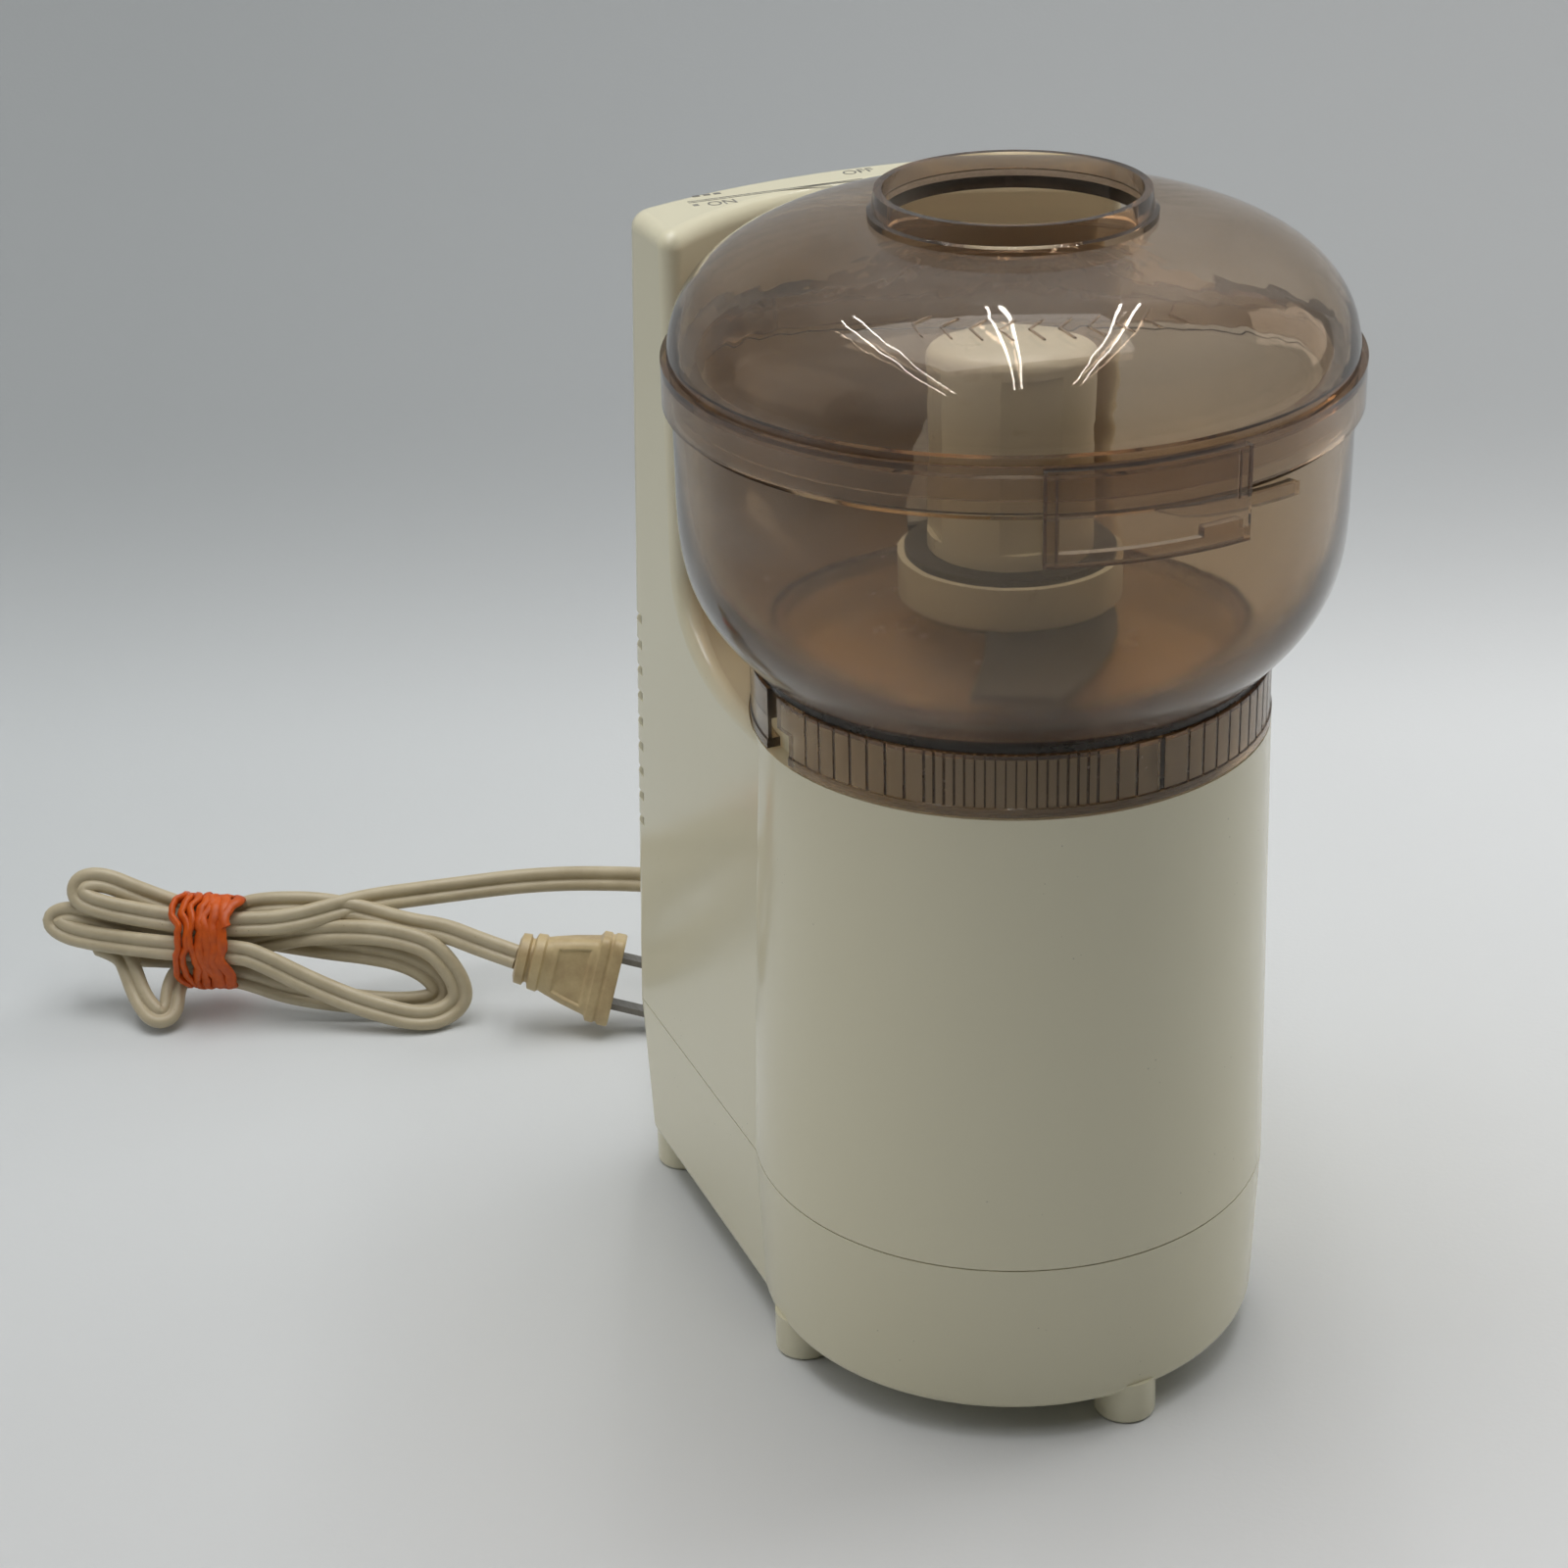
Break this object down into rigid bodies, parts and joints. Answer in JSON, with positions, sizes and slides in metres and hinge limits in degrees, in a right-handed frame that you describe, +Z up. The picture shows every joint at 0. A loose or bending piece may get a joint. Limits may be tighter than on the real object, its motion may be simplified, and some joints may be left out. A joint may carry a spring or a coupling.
{
  "type": "mini food chopper",
  "caption": "Compact motor housing with a rear column, a locking clear bowl with a bladed hub, a domed lid with an open feed neck, and a tied flat mains cord with a plug.",
  "frame": {"origin": "middle of the housing's footprint on the surface it stands on, cord left out", "axes": "+Z up, -Y the front where the lid's tab is, +Y the back where the column and cord are, +X to the right seen from the front"},
  "size_m": [0.2487, 0.3033, 0.2587],
  "materials": {
    "cream_plastic": "gloss",
    "hub_plastic": "gloss",
    "smoky_clear": "clear smoky brown",
    "bright_steel": "bright",
    "zinc_steel": "zinc plated",
    "core_steel": "laminated",
    "copper": "enamelled",
    "bronze": "sintered",
    "white_nylon": "matte",
    "black_plastic": "matte",
    "black_rubber": "matte",
    "brown_phenolic": "matte",
    "carbon": "matte",
    "beige_vinyl": "satin",
    "ivory_vinyl": "satin",
    "orange_rubber": "matte"
  },
  "bodies": {
    "housing": {"upper_housing": "cream_plastic", "base_housing": "cream_plastic", "housing_screws": "zinc_steel", "strain_relief": "beige_vinyl", "gear_plate": "zinc_steel", "gear_plate_screws": "zinc_steel", "spindle_bush_upper": "bronze", "spindle_bush_lower": "bronze", "spindle_seal": "black_rubber", "stator_core": "core_steel", "field_coils": "copper", "motor_bracket_lower": "zinc_steel", "motor_bracket_upper": "zinc_steel", "motor_bearing_lower": "bronze", "motor_bearing_upper": "bronze", "motor_spacers": "zinc_steel", "motor_screws": "zinc_steel", "brush_holders": "brown_phenolic", "carbon_brushes": "carbon", "brush_springs": "core_steel", "switch_body": "brown_phenolic", "switch_screws": "zinc_steel", "cord_lead": "beige_vinyl", "cord_hank": "beige_vinyl", "cord_tail": "beige_vinyl", "cord_tie": "orange_rubber", "plug_body": "ivory_vinyl", "plug_blades": "zinc_steel"},
    "bowl": {"bowl": "smoky_clear"},
    "lid": {"lid": "smoky_clear"},
    "rotor": {"rotor_shaft": "bright_steel", "rotor_core": "core_steel", "rotor_windings": "copper", "commutator": "copper", "cooling_fan": "black_plastic", "pinion": "bright_steel"},
    "spindle": {"spindle": "bright_steel", "spindle_clip": "bright_steel", "drive_gear": "white_nylon", "blade_hub": "hub_plastic", "blade_low": "bright_steel", "blade_high": "bright_steel"},
    "interlock": {"interlock_plunger": "white_nylon", "switch_button": "black_plastic"}
  },
  "joints": [
    {"name": "bowl_turn", "type": "hinge", "parent": "housing", "child": "bowl", "pos_m": [0, -0.0154, 0.155], "axis": [0, 0, 1], "range_deg": [-14, 0]},
    {"name": "lid_turn", "type": "hinge", "parent": "bowl", "child": "lid", "pos_m": [0, -0.0154, 0.222], "axis": [0, 0, 1], "range_deg": [-20, 0]},
    {"name": "motor_spin", "type": "hinge", "parent": "housing", "child": "rotor", "pos_m": [0, 0.0106, 0.1], "axis": [0, 0, 1], "continuous": true},
    {"name": "spindle_spin", "type": "hinge", "parent": "housing", "child": "spindle", "pos_m": [0, -0.0154, 0.16], "axis": [0, 0, 1], "continuous": true},
    {"name": "interlock_slide", "type": "slide", "parent": "housing", "child": "interlock", "axis": [-0.4226, 0.9063, 0], "range_m": [-0.0024, 0]}
  ],
  "couplings": [
    {"joint": "spindle_spin", "follows": "motor_spin", "ratio": -0.2037},
    {"joint": "interlock_slide", "follows": "lid_turn", "m_per_rad": 0.0068748}
  ]
}
